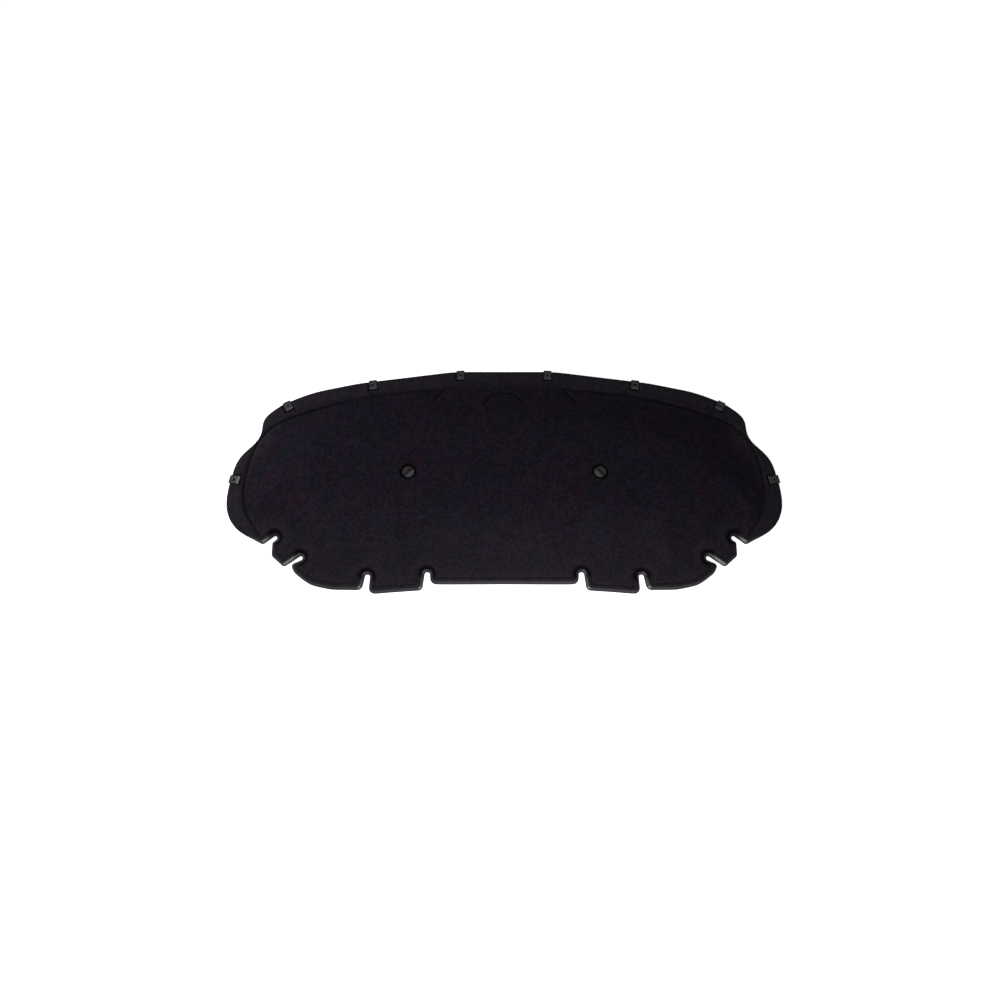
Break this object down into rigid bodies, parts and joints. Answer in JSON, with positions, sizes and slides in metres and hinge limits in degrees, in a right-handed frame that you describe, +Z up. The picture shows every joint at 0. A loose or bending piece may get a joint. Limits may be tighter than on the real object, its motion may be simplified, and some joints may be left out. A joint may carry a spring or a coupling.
{
  "type": "hood insulation pad",
  "caption": "Moulded felt pad that lines a car's hood, with a pinched groove, cut slots along its front edge, spring clips on its edge and slotted push fasteners in dimples.",
  "frame": {"origin": "on the plane that the pad lies on, under the middle of its bounding box", "axes": "+X along the pad's width, +Y towards its back edge, which carries the clips, +Z up out of its finished face"},
  "size_m": [1.2038, 0.5156, 0.028],
  "materials": {
    "felt": "black needled felt under a thin bonded scrim",
    "clip_steel": "black coated spring steel, worn bright at its corners",
    "sleeve_plastic": "black moulded plastic",
    "pin_plastic": "dark brownish grey moulded plastic, slightly polished"
  },
  "bodies": {
    "root": {"insulation_pad": "felt", "edge_clip_left_middle": "clip_steel", "edge_clip_left_shoulder": "clip_steel", "edge_clip_left_corner": "clip_steel", "edge_clip_left_lobe": "clip_steel", "edge_clip_right_middle": "clip_steel", "edge_clip_right_shoulder": "clip_steel", "edge_clip_right_corner": "clip_steel", "edge_clip_right_lobe": "clip_steel", "fastener_sleeve_left": "sleeve_plastic", "fastener_sleeve_right": "sleeve_plastic", "fastener_pin_left": "pin_plastic", "fastener_pin_right": "pin_plastic"}
  },
  "joints": []
}
